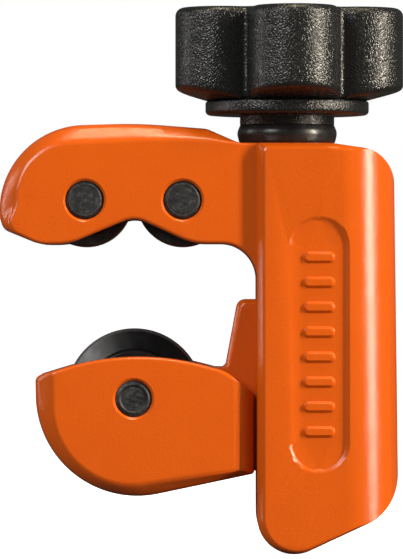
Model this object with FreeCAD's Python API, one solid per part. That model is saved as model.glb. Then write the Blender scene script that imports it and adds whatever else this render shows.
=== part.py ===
import FreeCAD, Part
import math
import os
from FreeCAD import Vector

# Mini tubing cutter. The origin is the axis of a reference tube seated on both rollers, in the
# plane of the cutting wheel. +X runs from the throat into the handle (the spine), +Z along the
# feed screw towards the knob, and Y is the tube's own direction. Millimetres throughout.

# ---- tube and rollers --------------------------------------------------------------------
reference_tube_radius = 6.0
roller_radius = 6.0
roller_gap = 0.6                # between the two rollers
roller_length = 9.2
roller_pin_radius = 2.5
roller_rim_width = 1.5          # raised ring at each end of a roller
roller_end_recess = 0.4

# ---- cutting wheel -----------------------------------------------------------------------
wheel_radius = 9.0
wheel_rest_gap = 0.35           # wheel edge to reference tube, at rest
wheel_hub_radius = 6.2
wheel_hub_width = 6.4
wheel_blade_root = 2.6          # blade thickness where it leaves the hub
wheel_blade_tip = 0.5           # blade thickness where the edge bevel starts
wheel_edge_bevel = 0.35
wheel_pin_radius = 2.38
pin_clip_width = 2.1

# ---- frame: arm, spine and foot ----------------------------------------------------------
throat_depth = 15.87            # reference tube's axis to the spine
spine_width = 18.13
spine_thickness = 20.0
arm_thickness = 17.0
nose_wall = 5.1                 # in front of the outer roller
arm_roof = 3.94                 # above the rollers
cheek_drop = 5.68               # roller axis down to the cheeks' lower edge
notch_drop = 2.13               # roller axis down to the notch between the cheeks' lobes
seat_rise = 7.39                # roller axis up to the flat seat under the knob
arm_bevel_width = 2.3
arm_bevel_depth = 1.8
top_wall = 4.0                  # seat down to the top of the channel
foot_height = 8.68              # channel's lower end down to the foot's corner
foot_slant = 8.52               # rise of the slanted underside across the spine
spine_back_round = 7.0
spine_back_lean = 0.6           # how much wider the spine is at its foot than at the seat
spine_bevel_depth = 1.1
bevel_easing = 0.25             # rounding where a bevel meets a face, as a share of its depth
bevel_blend = 0.2               # softened strip where a bevel meets the edge, likewise
channel_depth = 10.63

# ---- recessed panels on the spine --------------------------------------------------------
panel_width = 7.35
panel_depth = 0.5
panel_wall_run = 0.65           # width of the sloped wall round each panel
panel_below_seat = 9.7
panel_above_foot = 13.4
rib_length = 4.1
rib_width = 1.5
rib_pitch = 3.2
rib_height = 0.4
rib_wall_run = 0.35             # width of a rib's sloped sides

# ---- slide and jaw -----------------------------------------------------------------------
jaw_thickness = 17.0
jaw_wall = 3.3                  # outside the wheel's edge
jaw_underside_slant = 11.9      # degrees
jaw_bevel_width = 2.2
jaw_bevel_depth = 1.8
jaw_end_round = 3.0
jaw_chin = 0.4                  # how far the underside lies below a circle about the wheel
guide_width = 9.4
guide_bevel = 0.5
fin_rise = 12.79                # wheel axis up to the top of the guide block
guide_drop = 9.4                # wheel axis down to the bottom of the guide block
open_travel = 4.2

# ---- feed screw and its bearings ---------------------------------------------------------
screw_radius = 3.0
screw_from_spine_face = 4.03
pilot_radius = 2.2
pilot_length = 2.6
driven_end_radius = 2.5
driven_end_flat = 2.0           # axis to the flat of the D-shaped end
bush_wall = 0.7
bush_stand_out = 0.9
clip_thickness = 0.6
collar_height = 2.6
washer_thickness = 0.6

# ---- friction ring and knob --------------------------------------------------------------
o_ring_section = 1.35           # radius of the ring's round section
o_ring_height = 2.45
neck_radius = 6.15
neck_height = 1.3
flange_radius = 10.65
flange_height = 1.8
knob_lobes = 5
lobe_radius = 5.9
lobe_distance = 9.4
valley_radius = 0.6
lobe_turn = 5.0                 # degrees, first lobe turned from -Y towards +X
knob_height = 12.0
knob_skirt_rise = 1.25          # coned underside, from the flange to the lobes' edge
knob_edge_round = 1.0
hub_radius = 4.9
cap_radius = 8.2
cap_thickness = 1.4
cap_skirt_wall = 0.8
cap_skirt_depth = 1.5
hub_screw_radius = 1.5
hub_screw_head_radius = 2.8
hub_screw_head_height = 1.9

# ---- clearances --------------------------------------------------------------------------
running_clearance = 0.05        # radial, a shaft turning in its bore
side_clearance = 0.1            # each side of the guide block in its channel
roller_side_clearance = 0.2     # each end of a roller
roller_pocket_clearance = 0.8
wheel_slot_clearance = 0.3      # each side of the wheel's hub
wheel_pocket_clearance = 0.6
end_clearance = 0.4             # beyond the slide at the ends of its travel
axial_clearance = 0.05          # between turning and fixed faces along the screw
clip_room = 0.3                 # clip's edge to the channel's walls
pin_recess = 0.12               # pin ends below the casting's faces
hole_chamfer = 0.3

# ---- places worked out from the sizes above ----------------------------------------------
roller_x = roller_radius + roller_gap / 2
roller_z = math.sqrt((roller_radius + reference_tube_radius) ** 2 - roller_x ** 2)
wheel_z = -(reference_tube_radius + wheel_rest_gap + wheel_radius)
seat_z = roller_z + seat_rise
channel_top = seat_z - top_wall
guide_top = wheel_z + fin_rise
guide_bottom = wheel_z - guide_drop
channel_bottom = guide_bottom - open_travel - end_clearance
foot_corner = channel_bottom - foot_height
spine_left = throat_depth
spine_right = spine_left + spine_width
screw_x = spine_left + screw_from_spine_face
channel_right = spine_left + channel_depth
channel_half = guide_width / 2 + side_clearance
roller_slot_half = roller_length / 2 + roller_side_clearance
slot_half = max(channel_half, roller_slot_half)
pocket_radius = roller_radius + roller_pocket_clearance
bush_radius = screw_radius + running_clearance + bush_wall
o_ring_outer_radius = bush_radius + running_clearance + 2 * o_ring_section
screw_groove_radius = screw_radius * 0.8
screw_clip_width = channel_half - clip_room - screw_groove_radius
pin_groove_radius = wheel_pin_radius * 0.8
neck_bottom = seat_z + o_ring_height + axial_clearance
neck_top = neck_bottom + neck_height
flange_top = neck_top + flange_height
knob_top = flange_top + knob_height
shoulder_z = seat_z + bush_stand_out + axial_clearance + collar_height
hub_floor = flange_top + 5.8    # where the knob's washer sits
clip_top = channel_top - washer_thickness - axial_clearance
clip_bottom = clip_top - clip_thickness
OVERSHOOT = 2.0                 # how far a cutting tool runs past the face it opens


# ---- helpers -----------------------------------------------------------------------------
def at_depth(y):
    """Places a flat outline (x, z) in the plane y."""
    return lambda x, z: Vector(x, y, z)


def at_height(z):
    """Places a flat outline (x, y) in the plane z."""
    return lambda x, y: Vector(x, y, z)


def rounded_wire(corners, place):
    """Closed wire through corners (u, v, radius): straight runs joined by tangent arcs."""
    count = len(corners)
    arcs = []
    for index, (u, v, radius) in enumerate(corners):
        here = Vector(u, v, 0)
        before = Vector(*corners[index - 1][:2], 0) - here
        after = Vector(*corners[(index + 1) % count][:2], 0) - here
        half_angle = before.getAngle(after) / 2
        reach = radius / math.tan(half_angle)
        inward = (before.normalize() + after.normalize()).normalize()
        middle = here + inward * (radius / math.sin(half_angle) - radius)
        arcs.append((here + before * reach, middle, here + after * reach, radius))
    edges = []
    for index, (start, middle, end, radius) in enumerate(arcs):
        if radius > 0:
            points = [place(p.x, p.y) for p in (start, middle, end)]
            edges.append(Part.Arc(*points).toShape())
        following = arcs[(index + 1) % count][0]
        if (following - end).Length > 1e-6:
            edges.append(Part.makeLine(place(end.x, end.y), place(following.x, following.y)))
    return Part.Wire(edges)


def plate(corners, y_low, y_high):
    """Flat plate with a rounded outline in XZ."""
    face = Part.Face(rounded_wire(corners, at_depth(y_low)))
    return face.extrude(Vector(0, y_high - y_low, 0))


def inset(corners, distance):
    """Clockwise outline moved inward by a distance; sharp corners stay sharp."""
    moved = []
    for index, (u, v, radius) in enumerate(corners):
        here = Vector(u, v, 0)
        arriving = (here - Vector(*corners[index - 1][:2], 0)).normalize()
        leaving = (Vector(*corners[(index + 1) % len(corners)][:2], 0) - here).normalize()
        normals = Vector(arriving.y + leaving.y, -arriving.x - leaving.x, 0)
        place = here + normals * (distance / (1 + arriving.dot(leaving)))
        convex = arriving.cross(leaving).z < 0
        tightened = max(radius - distance, 0.3 * radius) if convex else radius + distance
        moved.append((place.x, place.y, tightened if radius > 0 else 0))
    return moved


def bevelled_plate(edge_corners, face_corners, thickness, bevel_depth):
    """Plate bevelled from one outline at its middle to a smaller one on each face.

    The bevel rounds over into the face, and a narrow strip softens it into the edge.
    """
    easing = bevel_easing * bevel_depth
    sections = []
    for turn in (0, 30, 60, 90):
        angle = math.radians(turn)
        sections.append((easing * (1 - math.cos(angle)), easing * (1 - math.sin(angle))))
    sections.append((bevel_depth * (1 - bevel_blend), 0))
    sections.append((bevel_depth * (1 + bevel_blend), 0))
    half = thickness / 2
    front, back = [], []
    for depth, step in sections:
        share = min(depth / bevel_depth, 1)
        outline = [tuple(f + (e - f) * share for f, e in zip(*pair))
                   for pair in zip(face_corners, edge_corners)]
        outline = inset(outline, step)
        front.append(rounded_wire(outline, at_depth(depth - half)))
        back.insert(0, rounded_wire(outline, at_depth(half - depth)))
    return Part.makeLoft(front + back, True, True)


def turned_upright(profile, x):
    """Solid of revolution about the vertical axis at x, from (radius, z) points."""
    points = [Vector(x + radius, 0, z) for radius, z in profile]
    face = Part.Face(Part.makePolygon(points + points[:1]))
    return face.revolve(Vector(x, 0, 0), Vector(0, 0, 1), 360)


def turned_across(profile, x, z):
    """Solid of revolution about the Y axis through (x, z), from (radius, y) points."""
    points = [Vector(x + radius, y, z) for radius, y in profile]
    face = Part.Face(Part.makePolygon(points + points[:1]))
    return face.revolve(Vector(x, 0, z), Vector(0, 1, 0), 360)


def rod_upright(radius, z_low, z_high, x=screw_x):
    return Part.makeCylinder(radius, z_high - z_low, Vector(x, 0, z_low))


def rod_across(radius, y_low, y_high, x, z):
    return Part.makeCylinder(radius, y_high - y_low, Vector(x, y_low, z), Vector(0, 1, 0))


def block(x_low, x_high, y_low, y_high, z_low, z_high):
    corner = Vector(x_low, y_low, z_low)
    return Part.makeBox(x_high - x_low, y_high - y_low, z_high - z_low, corner)


def countersinks(radius, half, x, z):
    """Two short cones that break the edges of a cross hole at both faces."""
    cones = []
    for side in (-1, 1):
        direction = Vector(0, -side, 0)
        face = Vector(x, side * half, z)
        cones.append(Part.makeCone(radius + hole_chamfer, radius, hole_chamfer, face, direction))
    return cones


def snap_ring(inner_radius, width, thickness):
    """Flat open clip that grips a groove, on the XY plane, its mouth towards +X."""
    outer_radius = inner_radius + width
    ring = Part.makeCylinder(outer_radius, thickness)
    reliefs = [Part.makeCylinder(inner_radius, thickness)]
    reliefs.append(block(0, outer_radius + OVERSHOOT, -inner_radius * 0.8, inner_radius * 0.8,
                         0, thickness))
    for angle in (115, 245):
        turn = math.radians(angle)
        place = Vector(inner_radius * math.cos(turn), inner_radius * math.sin(turn), 0)
        reliefs.append(Part.makeCylinder(width * 0.4, thickness, place))
    return ring.cut(reliefs)


# ---- frame -------------------------------------------------------------------------------
def arm():
    """C-shaped arm over the rollers, its outer edges bevelled on both faces."""
    nose_x = -(roller_x + roller_radius + nose_wall)
    crown = roller_z + roller_radius + arm_roof
    cheek = roller_z - cheek_drop
    inside = spine_left + 4.0
    shared = [
        (inside, seat_z, 0),
        (inside, guide_top, 0),
        (spine_left, guide_top, 0),
        (spine_left, cheek + 0.1, 4.6),
        (roller_x + 1.2, cheek + 0.1, 8.0),
        (0.05, roller_z - notch_drop, 3.5),
        (-roller_x - 2.2, cheek, 8.0),
        (-roller_x - 5.9, cheek, 5.0),
    ]
    edge = shared + [
        (nose_x + 0.6, cheek + 1.9, 1.5),
        (nose_x + 0.08, cheek + 3.5, 2.0),
        (nose_x - 0.1, crown - 0.55, 11.1),
        (0.5, crown, 60.0),
        (roller_x + 3.1, crown - 0.7, 2.5),
        (spine_left - 2.2, seat_z, 2.0),
    ]
    face = shared + [
        (nose_x + 0.85, cheek + 2.05, 1.6),
        (nose_x + arm_bevel_width, cheek + 5.2, 3.0),
        (nose_x + arm_bevel_width, crown - arm_bevel_width - 0.55, 7.0),
        (2.8, crown - 0.87 * arm_bevel_width, 40.0),
        (roller_x + 3.6, crown - 2.15, 2.5),
        (spine_left - 2.0, seat_z, 2.0),
    ]
    return bevelled_plate(edge, face, arm_thickness, arm_bevel_depth)


def spine():
    """Upright handle: a thick plate whose back edges are rounded for the palm."""
    rise = foot_corner + foot_slant
    back_top = spine_right - spine_back_lean / 2
    back_foot = spine_right + spine_back_lean / 2
    top_drop = 1.25             # the top slopes down to the back corner by this much
    edge = [
        (spine_left, seat_z, 0.3),
        (spine_left + 9.3, seat_z, 6.0),
        (back_top, seat_z - top_drop, 5.0),
        (back_foot, rise, 7.2),
        (spine_left, foot_corner, 4.8),
    ]
    face = [
        (spine_left + 0.9, seat_z - 0.6, 0.7),
        (spine_left + 9.1, seat_z - 0.6, 5.8),
        (back_top - 0.3, seat_z - top_drop - 0.5, 4.8),
        (back_foot, rise + 0.4, 7.0),
        (spine_left + 0.9, foot_corner + 0.75, 4.2),
    ]
    upright = bevelled_plate(edge, face, spine_thickness, spine_bevel_depth)
    half = spine_thickness / 2
    low = foot_corner - OVERSHOOT
    tall = seat_z + OVERSHOOT - low
    section = [
        (spine_left - 2, -half, 0),
        (back_foot, -half, spine_back_round),
        (back_foot, half, spine_back_round),
        (spine_left - 2, half, 0),
    ]
    sleeve = Part.Face(rounded_wire(section, at_height(low))).extrude(Vector(0, 0, tall))
    lean = math.atan2(back_top - back_foot, seat_z - top_drop - rise)
    sleeve.rotate(Vector(back_foot, 0, rise), Vector(0, 1, 0), math.degrees(lean))
    return upright.common(sleeve)


def obround(width, z_low, z_high, x):
    half = width / 2
    return [
        (x - half, z_low, half),
        (x + half, z_low, half),
        (x + half, z_high, half),
        (x - half, z_high, half),
    ]


def rib(x, z, growth):
    """Outline of one rib, moved outward by a growth."""
    half_length = rib_length / 2 + growth
    half_width = rib_width / 2 + growth
    radius = 0.9 * half_width
    return [
        (x - half_length, z - half_width, radius),
        (x + half_length, z - half_width, radius),
        (x + half_length, z + half_width, radius),
        (x - half_length, z + half_width, radius),
    ]


def panel(side):
    """Shallow obround recess with sloped walls, and the row of ribs on its floor."""
    x = spine_left + 0.44 * spine_width
    low = foot_corner + panel_above_foot
    high = seat_z - panel_below_seat
    face_y = side * spine_thickness / 2
    floor_y = face_y - side * panel_depth
    run = panel_wall_run
    mouth = obround(panel_width + 3 * run, low - 1.5 * run, high + 1.5 * run, x)
    floor = obround(panel_width - run, low + run / 2, high - run / 2, x)
    recess = Part.makeLoft([
        rounded_wire(mouth, at_depth(face_y + side * panel_depth)),
        rounded_wire(floor, at_depth(floor_y)),
    ], True, True)
    ribs = []
    room = high - low - panel_width
    count = int(room // rib_pitch) + 1
    first = (low + high) / 2 - rib_pitch * (count - 1) / 2
    for index in range(count):
        z = first + index * rib_pitch
        ribs.append(Part.makeLoft([
            rounded_wire(rib(x, z, rib_wall_run), at_depth(floor_y - side * rib_height)),
            rounded_wire(rib(x, z, -rib_wall_run), at_depth(floor_y + side * rib_height)),
        ], True, True))
    return recess, ribs


def frame():
    body = arm().fuse(spine())
    for side in (-1, 1):
        recess, ribs = panel(side)
        body = body.cut(recess).fuse(ribs)
    below = guide_top - OVERSHOOT
    tools = [
        rod_across(pocket_radius, -slot_half, slot_half, -roller_x, roller_z),
        rod_across(pocket_radius, -slot_half, slot_half, roller_x, roller_z),
        block(-roller_x - pocket_radius, spine_left + 1, -slot_half, slot_half, below, roller_z),
        block(spine_left - 1, channel_right, -channel_half, channel_half,
              channel_bottom, channel_top),
        rod_upright(bush_radius, channel_top - 1, seat_z + 1),
        rod_upright(pilot_radius + running_clearance, channel_bottom - pilot_length, channel_bottom + 1),
    ]
    half = arm_thickness / 2
    for x in (-roller_x, roller_x):
        tools.append(rod_across(roller_pin_radius, -spine_thickness, spine_thickness, x, roller_z))
        tools += countersinks(roller_pin_radius, half, x, roller_z)
    return body.cut(tools).removeSplitter()


# ---- slide -------------------------------------------------------------------------------
def jaw():
    """Thick jaw beside the spine, round about the wheel's axis at its lower left."""
    reach = wheel_radius + jaw_wall
    slant = math.radians(jaw_underside_slant)
    right = spine_left - 0.27
    low = wheel_z - (reach + jaw_chin) / math.cos(slant)
    top_left = wheel_z + 2.85
    shared = [
        (0, wheel_z + 6.65, 33.0),
        (spine_left - 3.97, wheel_z + 3.57, 5.0),
        (right, wheel_z + 0.55, 1.5),
    ]
    edge = [(-reach - 0.4, top_left, 0.9)] + shared + [
        (right, low + right * math.tan(slant), 0.6),
        (-reach - 0.1, low - reach * math.tan(slant), reach + 2 * jaw_chin),
    ]
    left_face = -reach - 0.4 + jaw_bevel_width
    face = [(left_face, top_left + 0.305 * jaw_bevel_width, 0.7)] + shared + [
        (right, low + right * math.tan(slant) + 0.9, 0.5),
        (left_face + 0.3, low + jaw_bevel_width - 1.9, reach - jaw_bevel_width),
    ]
    thick = bevelled_plate(edge, face, jaw_thickness, jaw_bevel_depth)
    half = jaw_thickness / 2
    section = [
        (-reach - OVERSHOOT, -half, 0),
        (right, -half, jaw_end_round),
        (right, half, jaw_end_round),
        (-reach - OVERSHOOT, half, 0),
    ]
    base = low - reach
    sleeve = Part.Face(rounded_wire(section, at_height(base))).extrude(Vector(0, 0, 3 * reach))
    return thick.common(sleeve)


def guide():
    """Narrow block that runs in the spine's channel, with the fin that rises beside it."""
    root = wheel_radius
    back = channel_right - 2 * side_clearance
    foot = spine_left - 4.07
    edge = [
        (root, wheel_z + 4.05, 0),
        (foot, wheel_z + 3.9, 0.8),
        (spine_left - 2.4, guide_top, 1.2),
        (back, guide_top, 1.2),
        (back, guide_bottom, 1.2),
        (root, guide_bottom, 0),
    ]
    face = [
        (root, wheel_z + 4.0, 0),
        (foot + guide_bevel, wheel_z + 4.0, 0.8),
        (spine_left - 2.4 + guide_bevel, guide_top - guide_bevel, 0.9),
        (back - guide_bevel, guide_top - guide_bevel, 0.9),
        (back - guide_bevel, guide_bottom + guide_bevel, 0.9),
        (root, guide_bottom + guide_bevel, 0),
    ]
    return bevelled_plate(edge, face, guide_width, guide_bevel)


def slide_jaw():
    body = jaw().fuse(guide())
    slot = wheel_hub_width / 2 + wheel_slot_clearance
    pocket = wheel_radius + wheel_pocket_clearance
    half = jaw_thickness / 2
    tools = [
        rod_across(pocket, -slot, slot, 0, wheel_z),
        block(-pocket, pocket, -slot, slot, wheel_z, wheel_z + pocket + OVERSHOOT),
        rod_across(wheel_pin_radius, -half - 1, half + 1, 0, wheel_z),
        rod_across(wheel_pin_radius + pin_clip_width, half - 3 * clip_thickness, half + 1, 0, wheel_z),
        rod_upright(screw_radius + running_clearance, guide_bottom - 1, guide_top + 1),
    ]
    tools.append(countersinks(wheel_pin_radius, half, 0, wheel_z)[0])
    return body.cut(tools).removeSplitter()


# ---- rollers, wheel and pins -------------------------------------------------------------
def roller(x):
    """Steel roller with a raised ring and a shallow recess at each end."""
    bore = roller_pin_radius + running_clearance
    half = roller_length / 2
    rim = roller_radius - roller_rim_width
    hub = bore + 1.0
    sunk = half - roller_end_recess
    profile = [
        (bore, -half), (hub, -half), (hub, -sunk), (rim, -sunk), (rim, -half),
        (roller_radius - 0.35, -half), (roller_radius, 0.35 - half),
        (roller_radius, half - 0.35), (roller_radius - 0.35, half),
        (rim, half), (rim, sunk), (hub, sunk), (hub, half), (bore, half),
    ]
    return turned_across(profile, x, roller_z)


def cutter_wheel():
    """Hub with a conical blade that ends in a steeper edge bevel."""
    bore = wheel_pin_radius + running_clearance
    half = wheel_hub_width / 2
    shoulder = wheel_radius - wheel_edge_bevel
    profile = [
        (bore, -half), (wheel_hub_radius - 0.3, -half), (wheel_hub_radius, 0.3 - half),
        (wheel_hub_radius, -wheel_blade_root / 2), (shoulder, -wheel_blade_tip / 2),
        (wheel_radius, 0), (shoulder, wheel_blade_tip / 2),
        (wheel_hub_radius, wheel_blade_root / 2), (wheel_hub_radius, half - 0.3),
        (wheel_hub_radius - 0.3, half), (bore, half),
    ]
    return turned_across(profile, 0, wheel_z)


def roller_pin(x):
    """Plain pin pressed through both cheeks, its ends chamfered."""
    half = arm_thickness / 2 - pin_recess
    edge = roller_pin_radius - 0.35
    profile = [(0, -half), (edge, -half), (roller_pin_radius, 0.35 - half),
               (roller_pin_radius, half - 0.35), (edge, half), (0, half)]
    return turned_across(profile, x, roller_z)


def cutter_pin():
    """Removable wheel pin with a clip groove at its back end."""
    front = pin_recess - jaw_thickness / 2
    back = jaw_thickness / 2 - 0.25
    groove = jaw_thickness / 2 - 2 * clip_thickness
    edge = wheel_pin_radius - 0.35
    profile = [
        (0, front), (edge, front), (wheel_pin_radius, front + 0.35),
        (wheel_pin_radius, groove - clip_thickness), (pin_groove_radius, groove - clip_thickness),
        (pin_groove_radius, groove), (wheel_pin_radius, groove), (wheel_pin_radius, back - 0.3),
        (edge, back), (0, back),
    ]
    return turned_across(profile, 0, wheel_z)


def cutter_pin_clip():
    ring = snap_ring(pin_groove_radius, pin_clip_width, clip_thickness * 0.9)
    ring.rotate(Vector(0, 0, 0), Vector(1, 0, 0), -90)
    ring.rotate(Vector(0, 0, 0), Vector(0, 1, 0), 65)
    ring.translate(Vector(0, jaw_thickness / 2 - 2.95 * clip_thickness, wheel_z))
    return ring


# ---- feed screw and what runs on it ------------------------------------------------------
def feed_screw():
    """Feed screw: pilot, threaded length at its major diameter, clip groove, D-shaped end."""
    tip = channel_bottom - pilot_length + end_clearance
    thread_low = channel_bottom + end_clearance
    top = hub_floor - 0.2
    profile = [
        (0, tip), (pilot_radius - 0.4, tip), (pilot_radius, tip + 0.4), (pilot_radius, thread_low),
        (screw_radius - 0.5, thread_low), (screw_radius, thread_low + 0.5),
        (screw_radius, clip_bottom), (screw_groove_radius, clip_bottom),
        (screw_groove_radius, clip_top),
        (screw_radius, clip_top), (screw_radius, shoulder_z), (driven_end_radius, shoulder_z),
        (driven_end_radius, top - 0.3), (driven_end_radius - 0.3, top), (0, top),
    ]
    screw = turned_upright(profile, screw_x)
    flat = block(screw_x + driven_end_flat, screw_x + screw_radius, -screw_radius, screw_radius,
                 shoulder_z, top + 1)
    tapped = rod_upright(hub_screw_radius, top - 5.5, top + 1)
    return screw.cut([flat, tapped])


def driven_bore():
    """D-shaped hole in the knob's hub that fits the screw's end."""
    hole = rod_upright(driven_end_radius, shoulder_z, hub_floor)
    beyond_flat = block(screw_x + driven_end_flat, screw_x + driven_end_radius + 1,
                        -driven_end_radius, driven_end_radius, shoulder_z, hub_floor)
    return hole.cut(beyond_flat)


def screw_bush():
    """Plain sleeve pressed into the top wall, standing proud to centre the friction ring."""
    sleeve = rod_upright(bush_radius, channel_top, seat_z + bush_stand_out)
    return sleeve.cut(rod_upright(screw_radius + running_clearance, channel_top, knob_top))


def thrust_collar():
    """Hardened ring on the screw that bears on the bush when the jaw is loaded."""
    low = seat_z + bush_stand_out + axial_clearance
    ring = rod_upright(bush_radius, low, low + collar_height)
    return ring.cut(rod_upright(screw_radius, low, low + collar_height))


def clip_washer():
    low = channel_top - washer_thickness
    washer = rod_upright(channel_half - 0.2, low, channel_top)
    return washer.cut(rod_upright(screw_radius + running_clearance, low, channel_top))


def retaining_clip():
    clip = snap_ring(screw_groove_radius, screw_clip_width, clip_thickness)
    clip.rotate(Vector(0, 0, 0), Vector(0, 0, 1), 180)
    clip.translate(Vector(screw_x, 0, clip_bottom))
    return clip


def friction_o_ring():
    """Rubber ring squeezed a little flat between the frame's seat and the knob's neck."""
    centre = Vector(screw_x, 0, seat_z + o_ring_height / 2)
    ring = Part.makeTorus(o_ring_outer_radius - o_ring_section, o_ring_section, centre)
    reach = o_ring_outer_radius + 1
    room = block(screw_x - reach, screw_x + reach, -reach, reach, seat_z, seat_z + o_ring_height)
    return ring.common(room)


# ---- knob --------------------------------------------------------------------------------
def lobed_wire(z):
    """Outline of round lobes joined by small concave valleys, all arcs tangent."""
    step = 2 * math.pi / knob_lobes
    reach = lobe_radius + valley_radius
    across = lobe_distance * math.sin(step / 2)
    valley_distance = lobe_distance * math.cos(step / 2) + math.sqrt(reach ** 2 - across ** 2)

    def point(distance, angle):
        return Vector(screw_x + distance * math.sin(angle), -distance * math.cos(angle), z)

    edges = []
    for index in range(knob_lobes):
        angle = math.radians(lobe_turn) + index * step
        lobe = point(lobe_distance, angle)
        before = point(valley_distance, angle - step / 2)
        after = point(valley_distance, angle + step / 2)
        following = point(lobe_distance, angle + step)
        start = lobe + (before - lobe) * (lobe_radius / reach)
        end = lobe + (after - lobe) * (lobe_radius / reach)
        crest = point(lobe_distance + lobe_radius, angle)
        bottom = point(valley_distance - valley_radius, angle + step / 2)
        next_start = following + (after - following) * (lobe_radius / reach)
        edges.append(Part.Arc(start, crest, end).toShape())
        edges.append(Part.Arc(end, bottom, next_start).toShape())
    return Part.Wire(edges)


def knob():
    """Lobed knob on a round flange and neck, hollow round its hub under the cap."""
    grip = Part.Face(lobed_wire(flange_top)).extrude(Vector(0, 0, knob_height))
    rim = [edge for edge in grip.Edges if edge.BoundBox.ZMin > knob_top - 1e-3]
    grip = grip.makeFillet(knob_edge_round, rim)
    crest = lobe_distance + lobe_radius
    skirt = turned_upright([
        (0, flange_top), (flange_radius, flange_top), (crest, flange_top + knob_skirt_rise),
        (crest + 1, flange_top + knob_skirt_rise), (crest + 1, knob_top + 1), (0, knob_top + 1),
    ], screw_x)
    base = turned_upright([
        (0, neck_bottom), (neck_radius, neck_bottom), (neck_radius, neck_top),
        (flange_radius - 0.5, neck_top), (flange_radius, neck_top + 0.5),
        (flange_radius, flange_top), (0, flange_top),
    ], screw_x)
    body = grip.common(skirt).fuse(base)
    cavity_radius = cap_radius - cap_skirt_wall / 2
    hollow = turned_upright([
        (0, hub_floor), (hub_radius, hub_floor), (hub_radius, flange_top + 2.0),
        (cavity_radius, flange_top + 2.0), (cavity_radius, knob_top - cap_thickness),
        (cap_radius, knob_top - cap_thickness), (cap_radius, knob_top + 1), (0, knob_top + 1),
    ], screw_x)
    collar_room = rod_upright(bush_radius, neck_bottom, shoulder_z)
    below_neck = rod_upright(bush_radius, neck_bottom - 1, neck_bottom + 0.1)
    return body.cut([hollow, collar_room, below_neck, driven_bore()]).removeSplitter()


def knob_washer():
    washer = rod_upright(hub_radius - 0.7, hub_floor, hub_floor + washer_thickness)
    return washer.cut(rod_upright(hub_screw_radius + 0.1, hub_floor, knob_top))


def knob_lock_washer():
    """Split spring washer, pressed flat under the screw's head."""
    low = hub_floor + washer_thickness
    ring = rod_upright(hub_screw_head_radius, low, low + washer_thickness)
    ring = ring.cut(rod_upright(hub_screw_radius + 0.1, low, low + washer_thickness))
    split = block(screw_x, screw_x + hub_screw_head_radius + 1, -0.15, 0.15,
                  low, low + washer_thickness)
    return ring.cut(split)


def knob_screw():
    """Pan-head screw with a hexagon socket."""
    low = hub_floor + 2 * washer_thickness
    end = hub_floor - 5.2
    head = hub_screw_head_radius
    profile = [
        (0, end), (hub_screw_radius - 0.3, end), (hub_screw_radius, end + 0.3),
        (hub_screw_radius, low), (head, low), (head, low + hub_screw_head_height - 0.6),
        (head - 0.6, low + hub_screw_head_height), (0, low + hub_screw_head_height),
    ]
    socket_radius = 1.15
    corners = []
    for index in range(6):
        angle = math.radians(60 * index)
        corners.append((screw_x + socket_radius * math.cos(angle),
                        socket_radius * math.sin(angle), 0))
    floor = low + hub_screw_head_height - 1.2
    socket = Part.Face(rounded_wire(corners, at_height(floor))).extrude(Vector(0, 0, OVERSHOOT))
    return turned_upright(profile, screw_x).cut(socket)


def knob_cap():
    """Snap-in cap with a dished top and a short skirt."""
    under = knob_top - cap_thickness
    skirt = cap_radius - cap_skirt_wall / 2
    low = under - cap_skirt_depth
    return turned_upright([
        (skirt - cap_skirt_wall, low), (skirt, low), (skirt, under), (cap_radius, under),
        (cap_radius, knob_top - 0.3), (cap_radius - 0.3, knob_top), (cap_radius - 1.6, knob_top),
        (cap_radius - 2.0, knob_top - 0.4), (0, knob_top - 0.4), (0, under),
        (skirt - cap_skirt_wall, under),
    ], screw_x)


# ---- write every node --------------------------------------------------------------------
nodes = {
    "frame": frame(),
    "screw_bush": screw_bush(),
    "friction_o_ring": friction_o_ring(),
    "clip_washer": clip_washer(),
    "roller_pin_outer": roller_pin(-roller_x),
    "roller_pin_inner": roller_pin(roller_x),
    "roller_outer": roller(-roller_x),
    "roller_inner": roller(roller_x),
    "slide_jaw": slide_jaw(),
    "cutter_wheel": cutter_wheel(),
    "cutter_pin": cutter_pin(),
    "cutter_pin_clip": cutter_pin_clip(),
    "feed_screw": feed_screw(),
    "thrust_collar": thrust_collar(),
    "retaining_clip": retaining_clip(),
    "knob": knob(),
    "knob_washer": knob_washer(),
    "knob_lock_washer": knob_lock_washer(),
    "knob_screw": knob_screw(),
    "knob_cap": knob_cap(),
}

os.makedirs("parts", exist_ok=True)
for name, shape in nodes.items():
    solids = shape.Solids
    shape = solids[0] if len(solids) == 1 else shape
    shape.exportStep("parts/" + name + ".step")
    box = shape.BoundBox
    print(f"{name:18s} solids {len(solids)} valid {shape.isValid()} volume {shape.Volume:9.2f}"
          f"  x {box.XMin:7.2f} {box.XMax:7.2f}  y {box.YMin:7.2f} {box.YMax:7.2f}"
          f"  z {box.ZMin:7.2f} {box.ZMax:7.2f}")
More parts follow.
